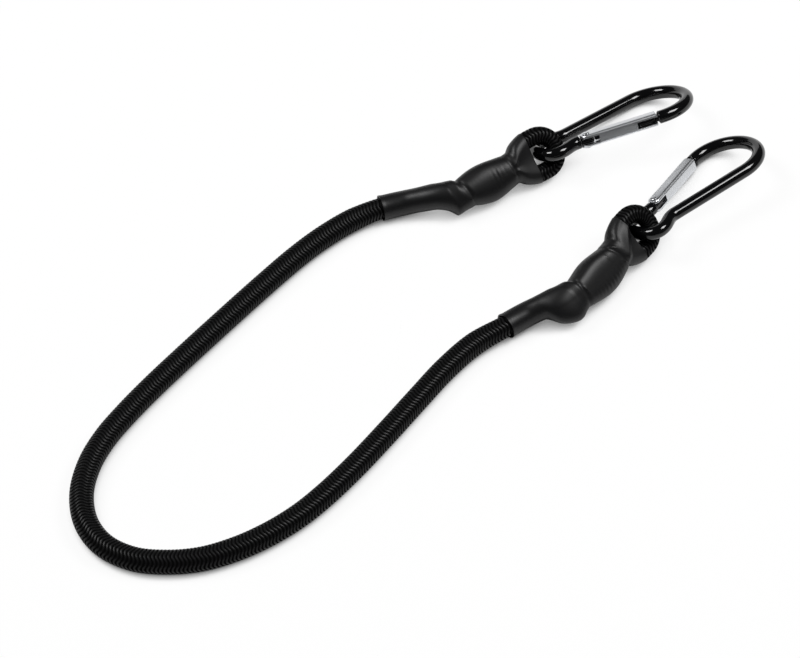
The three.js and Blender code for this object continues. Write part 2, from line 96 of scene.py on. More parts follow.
HELD = 0.8  # how tight the film holds the pair behind the last clip
FILM_PRESS = 0.6  # how much thinner the film presses each run, from the first clip back
PRESS_RAMP = (1, 3)  # where that begins ahead of the clip, over what length
FLARE = (-10.5, -0.8)  # where the pair opens into the eye
SLEEVE_FRONT = -2.4  # front edge of the film
THIN_FROM = -9  # the film draws thin from here to its front edge
LEVEL_X = -32  # from here on the main run lies in the plane of the eye
RUN_AHEAD = 1.2  # from the lead's last point to the main run's first
RUN_ROWS, TIP_ROWS = 32, 18  # points of each run, and round the tip
SPAN_STEPS = 24  # steps of a curve between two of its points
CORE_SIDES, CORE_EVERY = 20, 4  # corners of the core's section, and rings of the jacket to one of its own

# Braid of the jacket
COLUMN_SIDES = 6  # corners of the jacket's section in a column of yarns
RIB_STEPS, RIB_STEPS_QUICK = 5, 2.5
COLUMN_TURN = np.radians(135)  # where the columns begin round the cord
RIB_LEAN = 0.34  # swing of a rib along the relaxed cord, in pitches
RIB_SHARP = 1.3  # power that narrows a rib's crown
RIB_DIP = 0.3  # how much lower a rib is where its lean turns over
BEND_GAIN = 1.3  # how much a bend raises the relief inside it and smooths it outside
BEND_LIFT = (0.25, 1.8)  # limits of that
# Bends also deepen or lighten the painted shade of the grooves, through the ribs' colour
BEND_SHINE = (0.6, 1.2)  # the same for the ribs' shine

# The film's two necks, front and back: place, lean across the pair, half width; the swell between them, its skew and
# the power of its sine; how far necks and swell lie off the middle, minus to the tail's side; squareness; where it
# climbs from the lead over the tail's end, how rounded, and how far that end stands out
FILM = {
    "a": {
        "necks": (-11.4, -29.8), "lean": (-0.12, -0.23), "half": (5.75, 5.52),
        "swell": 1.45, "skew": 0.86, "crown": 1.5, "shift": (-0.2, -0.3),
        "power": 2.15, "climb": (-40.6, -35.4), "blunt": 0, "bump": 0.4,
    },
    "b": {
        "necks": (-12.2, -32.2), "lean": (-0.5, 0.1), "half": (5.75, 5.65),
        "swell": 1.65, "skew": 1, "crown": 1.4, "shift": (-0.35, -0.6),
        "power": 2.9, "climb": (-44.4, -37.4), "blunt": 1, "bump": 1.05,
    },
}  # fmt: skip
FILM_HIGH = 4.55  # half height over the pair
FILM_FRONT = 3.4  # the same at the front edge
SINK_FROM = 1.2  # ahead of the front neck, where it begins to sink to that
SWELL_LIFT = 0.1  # how much higher it is over the swell
GROOVE = (0.8, 0.1, 0.33)  # groove in a neck: half width, depth across the pair and through it
LEAN_ARM = 5.5  # half width at which a neck's lean is taken
OPEN_FROM = 3  # behind the front neck, where the film begins to open
OPEN_SOFT = 0.35  # how softly it passes from neck to runs
SHIFT_RAMP = 2.5  # ahead of the front neck, the length in which its shift dies out
FLAT_RAMP = 4  # the same for the oval turning into a stadium
STUB = (0.2, 2.2)  # the tail's end standing out: place past the climb, spread
SHOULDER = (0.2, 1.8)  # behind the back neck on the main run: where the film comes down, over what length
SQUARE = (-41, 4.5)  # where the film's rings turn square to the end, over what length
LEAD_SWELL = (0.25, -46, 8)  # growth of the film round the lead: how much, from where, over what length
FILM_STEP, FILM_SIDES = 0.3, 120  # between two rings of the film, and corners in a ring
FILM_CROWD = 0.33  # how far, in radians, those corners crowd to its top and underside
LIP_WIDTH = 0.9
SLOW = (0.05, 3.1, 7.3)  # slow unevenness: height, and length per radian of its two waves
RIB_SHOW = (1.7, 0.28)  # braid showing through: pitch, spread round the film in radians
# Creases of the film: place along the end, angle round it and spread in degrees, lift, width, slant in mm per radian
CREASES = {
    "a": [(-11.75, 109, 13, 0.3, 0.3, 1.2), (-29.9, 114, 11, 0.25, 0.3, 0.5), (-16.2, 76, 15, 0.1, 0.25, 0.3)],
    "b": [
        (-12.6, 52, 22, 0.3, 0.45, 4),
        (-12.1, 105, 14, 0.35, 0.3, 2),
        (-16.9, 67, 15, 0.14, 0.5, 1.2),
        (-31.1, 88, 13, 0.35, 0.3, 1.5),
    ],
}
RIBS = {"a": (-17, 2.5, 78), "b": (-21, 7, 116)}  # braid showing through: place, spread, angle round the film
# Where the film's fold over the web runs, from the clip to the front edge; end a has none
RIDGE = {"a": (0, 0), "b": (-6, 5.1)}
FOLD_FALL = 2.2  # width of the fold's steep side
FOLD_FOOT = (1.5, 1)  # its foot: past the main run's middle, and past its own line
FOLD_ONSET, DIP_ONSET = 3, 2.5  # how soon along the web the fold and the dip are full
DIP_POWER = 1.5
SLIVER = 0.01  # a length too small to see

# Carabiner, in its own frame: small loop at the origin, x to the large bend
LOOP_HALF = 7.8  # small loop's widest half, centre line
LOOP_BASE = 4.8  # from there to its flat base
LOOP_POWER = 2.4  # how square the base is
BEND_R = 12.6  # large bend, centre line
BEND_X = 41
LIMB = np.radians(12.76)  # each limb from the middle line
WAIST_X = 9  # where the loop has drawn in to meet the limb
WAIST_PULL = 11  # how long each end of that curve holds its direction
WAIST_STEPS, BEND_STEPS = 40, 120  # points of the rod's curves
ROD_STEP, ROUND_SIDES = 0.35, 28  # between two rings of the rod; corners in a ring of rod or rivet
RIVET_X = 11.7
TONGUE_HALF = 0.9  # half thickness of both tongues
TONGUE_POWER = 5  # squareness of their section; the round rod's is 2
TONGUE_FROM = (-2.7, 27.1)  # where the hinge's and the nose's leave the round rod, from the rivet
TONGUE_ROWS = (40, 24, 48)  # rings: hinge's, nose's ahead of its notch, the rest
HINGE_TONGUE = (1.95, 2.4)  # half height, end past the rivet
HINGE_NECK = (-2.72, 0.4)  # where the rod begins to flatten, over what length
HINGE_ROUND = (1.6, 0.95)  # where the tongue begins to round off, over what length
NOSE_TONGUE = (-1, 1.8)  # inner and outer edge about the gate's middle line
NOSE_NECK = (26.6, 0.9)  # as the hinge's
NOSE_ROUND = (1, 1.15)  # as the hinge's, from the tip
NOSE_NOTCH = (23.6, 24.8, 0.7)  # latching notch: from, to, depth
NOTCH_WALL = (0.05, 0.02)  # from its far edge to the rings on either side
NOSE_TIP = 18.7
ROUND_MOST = 0.92  # share of the rounding at which a tongue is cut off
ROUND_THIN = 0.4  # share of the rounding that its thickness takes
GATE_HALF = (2.2, 2.3)  # in the carabiner's plane, through it
GATE_END = 25.4
SLOT_HALF = 1.2
HINGE_SLOT_END = 4.2
NOSE_SLOT = (18.2, -1.3)  # where it starts, its floor
NOSE_EASE = (0.2, 0.93)  # eased end of the channel: length, share of its section
LUG_SWEEP = (100, 180, 10)  # round end of the fork: from and to in degrees, points
LUG_LEAST = 0.25  # least half width of a fork cheek
CHEEK_CORNER = 0.8  # rounding of its edges against the bar's, or its half width
CORNER_POINTS = 7
RIVET_R = 0.8
RIVET_HEAD = (1.3, 0.45)  # radius, height
RIVET_SEAT = 0.15  # from the gate's face to the head
# Head of the rivet: a flat face with a broad chamfer, as shares of its radius and height
RIVET_PROFILE = np.array([(0.03, 0.75), (0.62, 0.75), (0.68, 0.7), (0.96, 0.3), (1, 0.2), (1, 0)])

# Stage, in metres
VIEW = (0.4301, 0.4777, -0.766)  # the way the camera looks
AIM, AIM_FAR = (-0.0034, -0.0032, 0), 1.32  # the point it looks at, and from how far
LENS, SENSOR = 176.7, 36  # in millimetres
LAMPS = {"softbox_left": (-0.48, 0.66, 1.1), "softbox_right": (0.66, -0.4, 1.1)}
SKY_STRENGTH = 0.06
# How far the paper looks for what closes it in, and the shares of open sky between which it goes from dark to white:
# to the camera, in mirrors, and in its own colour, where the dark is painted shade
SEEN_SKY, MIRROR_SKY, PAPER_SKY = (0.025, 0.15, 0.62), (0.06, 0.4, 1), (0.012, 0.2, 0.5)
GLOW_MOST = 0.92  # how much of the paper's white is its own
BACKDROP = ((-0.4, 2.9), (2.2, 1.8))  # foot of the far sheet, from corner to corner
CARD = ((0.1, -2.0), (-1.3, -1.6))  # foot of the grey card


def linear(code):
    """Linear RGBA of an sRGB hex code: each channel through the sRGB transfer curve."""
    channels = [int(code[i : i + 2], 16) / 255 for i in (1, 3, 5)]
    return [c / 12.92 if c <= 0.04045 else ((c + 0.055) / 1.055) ** 2.4 for c in channels] + [1.0]


def length(name, description, default):
    """A size property in metres, given in millimetres."""
    return FloatProperty(name=name, description=description, default=default * MM, min=0.0, unit="LENGTH")


def colour(name, description, code):
    """A colour property, given as an sRGB hex code."""
    return FloatVectorProperty(name=name, description=description, default=linear(code), size=4, subtype="COLOR")


class BungeeCordSettings(bpy.types.PropertyGroup):
    radius: length("Radius", "Relaxed cord, middle of the braid's relief", 4)
    eye_radius: length("Eye radius", "Cord drawn tight round the eye", 3.1)
    core_inset: length("Core inset", "From the jacket's face to the latex core", 1)
    pitch: length("Rib pitch", "Along the cord from one rib to the next", 1.25)
    relief: length("Relief", "Height of a yarn over the groove beside it", 0.13)
    columns: IntProperty(name="Columns", description="Columns of yarns round the cord", default=10, min=4)
    # Crest and groove colours: the groove's darker colour is painted shade between the yarns
    crest: colour("Yarn", "Crown of a yarn", "#131314")
    groove: colour("Groove", "Between the yarns", "#080808")
    latex: colour("Latex", "Core strands", "#c9b48a")


class BungeeSleeveSettings(bpy.types.PropertyGroup):
    wall: length("Wall", "Shrunk wall", 0.3)
    play: length("Play", "From the cord to the inside of the wall", 0.2)
    edge: length("Edge", "Wall at the front edge, drawn thin", 0.16)
    lead: length("Lead radius", "Outside of the film round the single cord", 4.3)
    lip: length("Lip", "Rise of the cut edge at the mouth", 0.2)
    ridge: length("Ridge", "Height of the fold over the web", 0.8)
    sag: length("Sag", "Dip of the web between the runs", 0.45)
    telegraph: length("Telegraph", "Height of the braid showing through", 0.12)
    skin: colour("Sleeve", "Shrunk polyolefin", "#0d0d0e")
    wire: colour("Wire", "Clip wire", "#9a9c9f")


class BungeeCarabinerSettings(bpy.types.PropertyGroup):
    rod_radius: length("Rod radius", "Bent rod", 2.3)
    corner: length("Gate corner", "Rounding of the gate's long edges", 1.0)
    coat: colour("Coat", "Black coat of the rod", "#040405")
    plate: colour("Plate", "Bright plated gate", "#d9dbde")
    pin: colour("Pin", "Plunger", "#3a3c40")
    steel: colour("Steel", "Spring wire", "#8f9397")


class BungeeStageSettings(bpy.types.PropertyGroup):
    floor: length("Floor", "Half width of the floor", 3000)
    backdrop: length("Backdrop", "Height of the far sheet that the bright metal mirrors", 550)
    paper: colour("Paper", "White sweep", "#f6f6f6")
    # Painted shade: the paper is given this dark colour where the object closes it in
    shade: colour("Shade", "The same paper where the object closes it in", "#080808")
    card: colour("Card", "Grey card behind the camera", "#c8c8c8")
    lamp_size: length("Lamp size", "Side of each softbox", 500)
    lamp_power: FloatProperty(name="Lamp power", description="Each softbox, in watts", default=12.0, min=0.0)


def mix(a, b, t):
    """Straight blend from a to b."""
    return a + (b - a) * t


def bell(off, width):
    """Bell curve, 1 in the middle."""
    return np.exp(-((off / width) ** 2))


def corners(count):
    """Even angles round a section, as one row."""
    return 2 * np.pi * np.arange(count)[None] / count


def ease(t):
    """Smooth step from 0 to 1: 3 t^2 - 2 t^3."""
    t = np.clip(t, 0, 1)
    return t * t * (3 - 2 * t)


def unit(v):
    return v / np.linalg.norm(v, axis=-1, keepdims=True)


def axes_of(turn):
    """Rotation matrix: roll about x, then pitch and yaw."""
    (cr, cp, cy), (sr, sp, sy) = np.cos(np.radians(turn)), np.sin(np.radians(turn))
    yaw = np.array([(cy, -sy, 0), (sy, cy, 0), (0, 0, 1)])
    pitch = np.array([(cp, 0, -sp), (0, 1, 0), (sp, 0, cp)])
    roll = np.array([(1, 0, 0), (0, cr, -sr), (0, sr, cr)])
    return yaw @ pitch @ roll


def placed(points, at, turn):
    """Points of a local frame carried to the table."""
    return points @ axes_of(turn).T + np.array(at)


def carried(points, values, step):
    """Centripetal Catmull-Rom curve through the points, at even steps of arc length, with values carried along it.
    Each span is Barry and Goldman's pyramid of linear blends on knots spaced by the square root of the chord."""
    p = np.vstack([2 * points[0] - points[1], points, 2 * points[-1] - points[-2]])
    knot = np.concatenate([[0], np.cumsum(np.linalg.norm(np.diff(p, axis=0), axis=1) ** 0.5)])
    spans = len(points) - 1
    t0, t1, t2, t3 = (knot[i : i + spans, None, None] for i in range(4))
    p0, p1, p2, p3 = (p[i : i + spans, None, :] for i in range(4))
    t = t1 + (t2 - t1) * np.linspace(0, 1, SPAN_STEPS, endpoint=False)[None, :, None]
    a1 = mix(p0, p1, (t - t0) / (t1 - t0))
    a2 = mix(p1, p2, (t - t1) / (t2 - t1))
    a3 = mix(p2, p3, (t - t2) / (t3 - t2))
    b1 = mix(a1, a2, (t - t0) / (t2 - t0))
    b2 = mix(a2, a3, (t - t1) / (t3 - t1))
    dense = np.vstack([mix(b1, b2, (t - t1) / (t2 - t1)).reshape(-1, 3), points[-1:]])
    run = np.concatenate([[0], np.cumsum(np.linalg.norm(np.diff(dense, axis=0), axis=1))])
    at = np.linspace(0, run[-1], int(run[-1] / step) + 2)
    path = np.stack([np.interp(at, run, axis) for axis in dense.T], -1)
    keys = run[::SPAN_STEPS]
    return path, np.stack([np.interp(at, keys, v) for v in values.T], -1), at, keys


def frames(points, ups):
    """Axes square to a path: across, up and along, from a wished up direction at each point."""
    along = unit(np.gradient(points, axis=0))
    across = unit(np.cross(ups, along))
    return across, np.cross(along, across), along


def oval(turn, a, b, power=2.0):
    """Superellipse |u/a|^n + |v/b|^n = 1 at the given angles."""
    bow = lambda f: np.sign(f) * np.abs(f) ** (2 / power)
    return a * bow(np.cos(turn)), b * bow(np.sin(turn))


def swept(points, across, up, u, v):
    """Grid of rings: each point of a path plus u along across and v along up."""
    return points[:, None] + across[:, None] * u[..., None] + up[:, None] * v[..., None]


def skin(grid, loop=False):
    """Closed surface through a grid of rings: capped at both ends, or joined last to first. Faces look outward."""
    n, m = grid.shape[:2]
    rows = np.arange(n if loop else n - 1)[:, None]
    k = np.arange(m)[None]
    low, high = rows * m, (rows + 1) % n * m
    quads = np.stack([low + k, low + (k + 1) % m, high + (k + 1) % m, high + k], -1).reshape(-1, 4)
    points = grid.reshape(-1, 3)
    a, b, c, d = np.moveaxis((points - points.mean(0))[quads], 1, 0)
    inward = np.sum(np.cross(a, b) * c + np.cross(a, c) * d) < 0
    caps = [] if loop else [list(range(m))[::-1], list(range((n - 1) * m, n * m))]
    if inward:
        quads, caps = quads[:, ::-1], [cap[::-1] for cap in caps]
    return points, quads, caps


def add_piece(name, parts, material, body, replaces, crisp=None, attributes=None):
    """One object from closed surfaces in millimetres; crisp is the angle above which an edge stays sharp."""
    starts = np.cumsum([0] + [len(points) for points, _, _ in parts])
    points = np.vstack([part[0] for part in parts]) * MM
    faces = []
    for (_, quads, caps), start in zip(parts, starts):
        faces += (quads + start).tolist() + [[i + int(start) for i in cap] for cap in caps]
    mesh = bpy.data.meshes.new(name)
    mesh.from_pydata(points.tolist(), [], faces)
    mesh.shade_smooth()
    if crisp:
        mesh.set_sharp_from_angle(angle=np.radians(crisp))
    for key, values in (attributes or {}).items():
        kind, field = ("FLOAT", "value") if values.ndim == 1 else ("FLOAT_VECTOR", "vector")
        mesh.attributes.new(key, kind, "POINT").data.foreach_set(field, values.astype(np.float32).ravel())
    mesh.materials.append(material)
    piece = bpy.data.objects.new(name, mesh)
    bpy.context.scene.collection.objects.link(piece)
    if body:
        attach(piece, body)
    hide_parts(*replaces)
    return piece


def add_node(tree, kind, inputs=None, **settings):
    """A shader node with its settings, and its inputs set to a value or linked to an output."""
    made = tree.nodes.new("ShaderNode" + kind)
    for key, value in settings.items():
        setattr(made, key, value)
    for key, value in (inputs or {}).items():
        if isinstance(value, bpy.types.NodeSocket):
            tree.links.new(value, made.inputs[key])
        else:
            made.inputs[key].default_value = value
    return made


def surface(name, inputs):
    """A material with its Principled shader's inputs set; returns the material, its tree and the shader."""
    material = bpy.data.materials.get(name) or bpy.data.materials.new(name)
    material.use_nodes = True
    tree = material.node_tree
    tree.nodes.clear()
    shader = add_node(tree, "BsdfPrincipled", inputs)
    add_node(tree, "OutputMaterial", {"Surface": shader.outputs["BSDF"]})
    return material, tree, shader


def paint(node, material):
    """Gives a piece that is carried over from the CAD its material."""
    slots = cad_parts[node].data.materials
    slots.clear()
    slots.append(material)


def grain(tree, shader, size, height, strength, source=None, stretch=(1, 1, 1)):
    """Bump from noise of a real grain size in metres, on object coordinates or on a given vector."""
    if source is None:
        source = add_node(tree, "TexCoord").outputs["Object"]
    mapped = add_node(tree, "Mapping", {"Vector": source, "Scale": stretch})
    noise = add_node(tree, "TexNoise", {"Vector": mapped.outputs["Vector"], "Scale": 1 / size, "Detail": 3.0})
    relief = {"Height": noise.outputs["Fac"], "Strength": strength, "Distance": height}
    bump = add_node(tree, "Bump", relief)
    tree.links.new(bump.outputs["Normal"], shader.inputs["Normal"])


def plain(name, base, bump, **inputs):
    """A material of one colour with a fine grain, given as the size, height and strength of its bump."""
    material, tree, shader = surface(name, {"Base Color": base, **inputs})
    grain(tree, shader, *bump)
    return material


def squeeze(x):
    """1 in a wire clip, falling as a bell curve to 0 away from it, and held behind the last."""
    away = np.min([np.maximum(np.abs(x - clip) - CLIP_FLAT, 0) for clip in CLIP_X], axis=0)
    return np.maximum(bell(away, CLIP_REACH), HELD * (x < CLIP_X[1]))


def run_offset(x):
    """Each run from the middle of the pair: drawn in at the clips, opening into the eye."""
    return mix(mix(PAIR_OFFSET, PINCH_OFFSET, squeeze(x)), EYE_R, ease((x - FLARE[0]) / (FLARE[1] - FLARE[0])))


def run_half(x, radius):
    """Half sizes of a run's section, thinner under the film and pressed flat in the clips."""
    held = radius - FILM_PRESS * ease((CLIP_X[0] + PRESS_RAMP[0] - x) / PRESS_RAMP[1])
    return np.stack([mix(held, pinched, squeeze(x)) for pinched in PINCH_HALF], -1)


def end_rows(tail, radius):
    """Centre line of one end in its own frame with its half sizes and how level it lies:
    the lead, the main run, half a circle round the eye's tip, and the tail run back to its cut."""
    x = np.linspace(LEAD[-1, 0] + RUN_AHEAD, EYE_TIP_X, RUN_ROWS)
    drop = LEAD[-1, 2] * ease((LEVEL_X - x) / (LEVEL_X - LEAD[-1, 0]))
    main = np.stack([x, run_offset(x), drop], -1)
    t = np.linspace(np.pi / 2, -np.pi / 2, TIP_ROWS)[1:-1]
    tip = np.stack([EYE_TIP_X + EYE_R * np.cos(t), EYE_R * np.sin(t), 0 * t], -1)
    back = np.linspace(EYE_TIP_X, tail, RUN_ROWS)
    tail_run = np.stack([back, -run_offset(back), 0 * back], -1)
    lead_half, tip_half = np.stack([LEAD_R, LEAD_R], -1), np.full((len(t), 2), radius)
    half = np.vstack([lead_half, run_half(x, radius), tip_half, run_half(back, radius)])
    level = np.concatenate([ease(1 - np.arange(len(LEAD)) / (len(LEAD) - 1)), np.zeros(len(half) - len(LEAD))])
    return np.vstack([LEAD, main, tip, tail_run]), half, level


def cord_line(radius, eye_radius, step):
    """The whole cord from tail a to tail b: points, half sizes with up directions, arc lengths, and both joins."""
    ends = {}
    for side, end in ENDS.items():
        points, half, level = end_rows(end["tail"], eye_radius)
        eye_up = axes_of(end["turn"])[:, 2]
        ups = mix(eye_up, np.array([0, 0, 1.0]), level[:, None])
        ends[side] = placed(points, end["eye"], end["turn"]), np.hstack([half, ups])
    lie = np.column_stack([ROUTE, np.full(len(ROUTE), radius + LIE)])
    flat = np.tile([radius, radius, 0, 0, 1.0], (len(ROUTE), 1))
    points = np.vstack([ends["a"][0][::-1], lie, ends["b"][0]])
    values = np.vstack([ends["a"][1][::-1], flat, ends["b"][1]])
    path, values, run, keys = carried(points, values, step)
    first, last = len(ends["a"][0]) - 1, len(ends["a"][0]) + len(ROUTE)
    marks = [keys[i] for i in (first - JOIN_AT, first, last, last + JOIN_AT)]
    return path, values, run, marks


def braid(run, turn, columns, pitch, lean):
    """Height from 0 to 1 of the braid's ribs: a sharpened wave along the cord whose phase swings as a cosine round it,
    so that the yarns lean left and right from column to column, a little lower where the lean turns over.
    lean is the swing in pitches."""
    swing = columns / 2 * turn - COLUMN_TURN
    wave = 0.5 + 0.5 * np.cos(2 * np.pi * (run / pitch + lean * np.cos(swing)))
    return wave**RIB_SHARP * (1 - RIB_DIP + RIB_DIP * np.sin(swing) ** 2)


def cord_grid(path, values, run, settings):
    """Tube along the path whose radius carries the braid's relief, crowded and raised inside a bend and drawn smooth
    outside it; returns the grid and the relief from 0 to 1."""
    sides = COLUMN_SIDES * settings.columns
    turn = 2 * np.pi * (np.arange(sides) + 0.5)[None] / sides
    lean = RIB_LEAN * (values[:, :1] * MM / settings.radius) ** 2
    rib = braid(run[:, None], turn, settings.columns, settings.pitch / MM, lean)
    across, up, along = frames(path, values[:, 2:])
    bend = np.gradient(along, run, axis=0) * values[:, :1]
    inward = np.sum(bend * across, 1)[:, None] * np.cos(turn) + np.sum(bend * up, 1)[:, None] * np.sin(turn)
    tight = np.clip(1 + BEND_GAIN * inward, *BEND_LIFT)
    lift = settings.relief / MM * (rib - 0.5) * tight
    u, v = oval(turn, values[:, :1] + lift, values[:, 1:2] + lift)
    return swept(path, across, up, u, v), rib * np.clip(tight, *BEND_SHINE)


def core_grid(path, values, inset):
    """Plain round tube inside the jacket."""
    turn = corners(CORE_SIDES)
    u, v = oval(turn, values[:, :1] - inset, values[:, 1:2] - inset)
    across, up, _ = frames(path, values[:, 2:])
    return swept(path, across, up, u, v)


def stadium(turn, reach, r):
    """Two half circles of radius r, reach either side of the middle, joined by nearly straight sides: across, the
    circle's own plus reach times the softened sign of the cosine."""
    c = np.cos(turn)
    soft = 0.22
    return r * c + reach * c * np.hypot(1, soft) / np.hypot(c, soft), r * np.sin(turn)


def crease_lift(x, turn, creases):
    """Sum of creases: each a cusp exp(-|d|/width) across, faded by a bell curve round the sleeve."""
    lift = 0 * x * turn
    for place, angle, spread, height, width, slant in creases:
        off = (turn - np.radians(angle) + np.pi) % (2 * np.pi) - np.pi
        fade = bell(off, np.radians(spread))
        lift += height * fade * np.exp(-np.abs(x - place - slant * off) / width)
    return lift


def web_lift(x, u, reach, ridge_line, s):
    """The film between the runs, ahead of the first clip: a dip between the runs, and where it is folded, a plane that
    climbs from the main run to a slanting line and drops behind it."""
    along = np.clip((x - CLIP_X[0]) / (SLEEVE_FRONT - CLIP_X[0]), 0, 1)
    dip = np.clip(1 - (u / (reach + SLIVER)) ** 2, 0, 1) ** DIP_POWER
    if not any(ridge_line):
        return -s.sag / MM * dip * ease(DIP_ONSET * along)
    line = mix(*ridge_line, along)
    edge = np.maximum(reach + FOLD_FOOT[0], line + FOLD_FOOT[1])
    climb = np.clip(np.minimum((edge - u) / (edge - line), 1 - (line - u) / FOLD_FALL), 0, 1)
    behind = ease((line - u) / FOLD_FALL)
    return ease(FOLD_ONSET * along) * (s.ridge / MM * climb - s.sag / MM * dip * behind)


def film_half(side, x, turn, wide):
    """Half width, half height and sideways shift of the film over the pair: a neck over each clip, leaning across the
    pair, a swell between them that rises and falls as a power of a sine, a groove in each neck, and ahead of the front
    neck a smooth maximum of the neck and the opening runs."""
    f = FILM[side]
    (front, back), (lean, lean_back) = f["necks"], f["lean"]
    middle = np.clip((x - back) / (front - back), 0, 1)
    shifted = x - mix(lean_back, lean, middle) * LEAN_ARM * np.cos(turn)
    t = np.clip((shifted - back) / (front - back), 0, 1)
    full = np.clip(np.sin(np.pi * t ** f["skew"]), 0, 1) ** f["crown"]
    width, across, through = GROOVE
    groove = bell(shifted - front, width) + bell(shifted - back, width)
    tail = f["bump"] * bell(x - f["climb"][1] - STUB[0], STUB[1]) * (0.5 - 0.5 * np.cos(turn))
    neck = mix(f["half"][1], f["half"][0], t) + f["swell"] * full - across * groove + tail
    side_shift = mix(f["shift"][0] + f["shift"][1] * full, 0, ease((x - front) / SHIFT_RAMP))
    opening = OPEN_SOFT * np.logaddexp(neck / OPEN_SOFT, wide / OPEN_SOFT)
    half = np.where(x > front - OPEN_FROM, opening, neck)
    low = ease((x - front - SINK_FROM) / (SLEEVE_FRONT - front - SINK_FROM))
    return half, mix(FILM_HIGH + SWELL_LIFT * full - through * groove, FILM_FRONT, low), side_shift


def sleeve_grid(side, cord_radius, s):
    """Shrunk sleeve in the end's frame: a circle round the lead, blended round the tail's end into an oval round both
    runs with a neck at each clip, and a flat stadium over the opening eye; the outer wall carries a lip, creases, a
    slow unevenness and the braid showing through."""
    end, f = ENDS[side], FILM[side]
    points, half, _ = end_rows(end["tail"], cord_radius)
    count = len(LEAD) + RUN_ROWS
    line, half, run, _ = carried(points[:count], half[:count], FILM_STEP)
    keep = line[:, 0] <= SLEEVE_FRONT
    line, half, run = line[keep], half[keep], run[keep]
    x = line[:, 0]
    squared = ease((x - SQUARE[0]) / SQUARE[1])[:, None]
    along = unit(mix(unit(np.gradient(line, axis=0)), np.array([1.0, 0, 0]), squared))
    across = unit(np.array([0, 1.0, 0]) - along * along[:, 1:2])
    up = np.cross(along, across)
    middle = np.stack([np.sum(line * along, 1) / along[:, 0], 0 * x, 0 * x], -1)
    straight = line.copy()
    straight[:, 1] = np.minimum(line[:, 1], LEAD[-2, 1] + LEAD_SLOPE * (x - LEAD[-2, 0]))
    slant = np.gradient(run_offset(x), x)
    wide = run_offset(x) + half[:, 0] * np.hypot(1, slant)
    even = corners(FILM_SIDES)
    turn = even + FILM_CROWD * np.sin(2 * even)
    x, gone, wide = x[:, None], run[:, None], wide[:, None]
    thin = ease((x - THIN_FROM) / (SLEEVE_FRONT - THIN_FROM))
    wall = mix(s.wall / MM, s.edge / MM, thin)
    across_half, high, shift = film_half(side, x, turn, wide + s.play / MM * (1 - thin) + wall)
    growth, grow_from, grow_over = LEAD_SWELL
    lead = s.lead / MM + growth * ease((x - grow_from) / grow_over)
    foot, top = f["climb"]
    rise = np.clip((x - foot) / (top - foot), 0, 1)
    rise = mix(rise**2, ease(rise), f["blunt"])
    shoulder = ease((f["necks"][1] + f["lean"][1] * LEAN_ARM - SHOULDER[0] - x) / SHOULDER[1])
    doubled = mix(rise, 1 - shoulder, ease(0.5 + 0.5 * np.cos(turn)))
    flat = ease((x - f["necks"][0]) / FLAT_RAMP)
    lip = s.lip / MM * bell(gone, LIP_WIDTH)
    height, first, second = SLOW
    slow = height * np.sin(gone / first + 2 * np.sin(turn)) * np.cos(2 * turn + gone / second) * (1 - thin)
    place, spread, angle = RIBS[side]
    crown = bell(turn - np.radians(angle), RIB_SHOW[1]) * bell(x - place, spread)
    ribs = (0.5 + 0.5 * np.cos(2 * np.pi * gone / RIB_SHOW[0])) * crown * s.telegraph / MM
    lift = lip + slow + crease_lift(x, turn, CREASES[side]) + ribs

    def ring(rows, share, raised):
        more = wall[rows] * (share - 1) + (lift[rows] if raised else 0)
        a, b = across_half[rows] + more, high[rows] + more
        u, v = mix(np.stack(oval(turn, a, b, f["power"])), np.stack(stadium(turn, a - b, b)), flat[rows])
        v = v + np.sign(v) * ease(np.abs(v) / b) * web_lift(x[rows], u, a - b, RIDGE[side], s)
        u, r = u + shift[rows], lead[rows] + more
        single = swept(straight[rows], across[rows], up[rows], r * np.cos(turn), r * np.sin(turn))
        return mix(single, swept(middle[rows], across[rows], up[rows], u, v), doubled[rows][..., None])

    every, front, mouth = slice(None), slice(-1, None), slice(0, 1)
    outside, inside = ring(every, 1, True), ring(every, 0, False)[::-1]
    front_edge = [ring(front, 0.7, False), ring(front, 0.2, False)]
    mouth_edge = [ring(mouth, 0.2, False), ring(mouth, 0.8, True)]
    return np.vstack([outside, *front_edge, inside, *mouth_edge])


def gate_axes():
    """The rivet and the gate's two directions in the carabiner's plane: to the nose, and outward."""
    rivet = np.array([RIVET_X, BEND_R / np.cos(LIMB) - (BEND_X - RIVET_X) * np.tan(LIMB), 0])
    return rivet, np.array([np.cos(LIMB), np.sin(LIMB), 0]), np.array([-np.sin(LIMB), np.cos(LIMB), 0])


def rod_round():
    """The rod's round length: a Bezier waist, a superellipse base, the same waist mirrored, a straight limb and the
    large arc, as one line at even steps."""
    rivet, to_nose, _ = gate_axes()
    start = rivet + to_nose * (WAIST_X - RIVET_X) / np.cos(LIMB)
    side = np.array([0, LOOP_HALF, 0])
    pull = WAIST_PULL / 3
    t = np.linspace(0, 1, WAIST_STEPS)[:, None]
    one, two = start - to_nose * pull, side + np.array([pull, 0, 0])
    waist = start * (1 - t) ** 3 + 3 * one * t * (1 - t) ** 2 + 3 * two * t**2 * (1 - t) + side * t**3
    turn = np.radians(np.linspace(90, 270, BEND_STEPS + 1))
    base = np.stack([*oval(turn, LOOP_BASE, LOOP_HALF, LOOP_POWER), 0 * turn], -1)
    sweep = np.linspace(-np.pi / 2 - LIMB, np.pi / 2 + LIMB, BEND_STEPS)
    bend = np.stack([BEND_X + BEND_R * np.cos(sweep), BEND_R * np.sin(sweep), 0 * sweep], -1)
    line = np.vstack([waist[:-1], base[:-1], (waist * [1, -1, 1])[::-1], bend])
    run = np.concatenate([[0], np.cumsum(np.linalg.norm(np.diff(line, axis=0), axis=1))])
    at = np.linspace(0, run[-1], int(run[-1] / ROD_STEP))
    return np.stack([np.interp(at, run, axis) for axis in line.T], -1)


